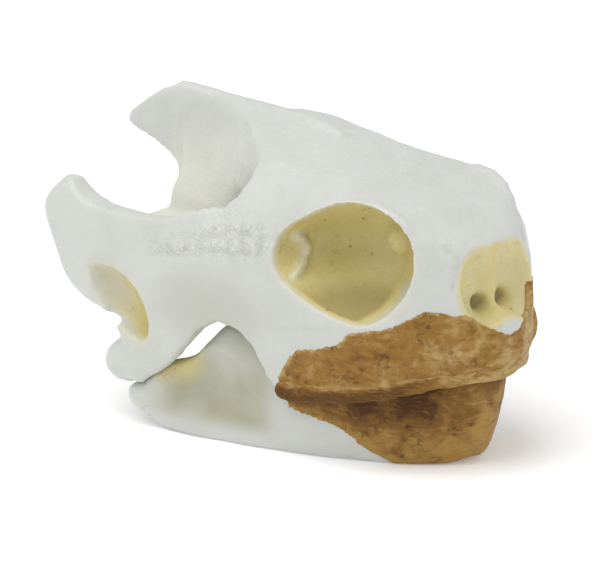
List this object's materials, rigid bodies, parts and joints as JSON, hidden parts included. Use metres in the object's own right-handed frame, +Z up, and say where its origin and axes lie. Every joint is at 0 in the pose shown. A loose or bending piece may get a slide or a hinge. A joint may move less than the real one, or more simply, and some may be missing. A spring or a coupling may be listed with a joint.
{
  "type": "turtle skull with lower jaw and horn beak",
  "caption": "Cleaned turtle skull at life size, resting on its closed lower jaw: domed snout, round eye sockets, open rear roof with a long crest, and brown horn beak on both jaws.",
  "frame": {"origin": "centre of the bounding box's bottom, on the surface that the lower jaw stands on", "axes": "-Y points out of the snout, +Y back along the crest, +Z up, +X to the skull's left"},
  "size_m": [0.0392, 0.0638, 0.0371],
  "materials": {
    "bone": "smooth satin cleaned bone, slightly glossy, yellower where it is thin",
    "horn": "dry brown horn with fine fibres, pits and a darker biting edge"
  },
  "bodies": {
    "root": {"cranium": "bone", "lower_jaw": "bone", "upper_beak": "horn", "lower_beak": "horn"}
  },
  "joints": []
}
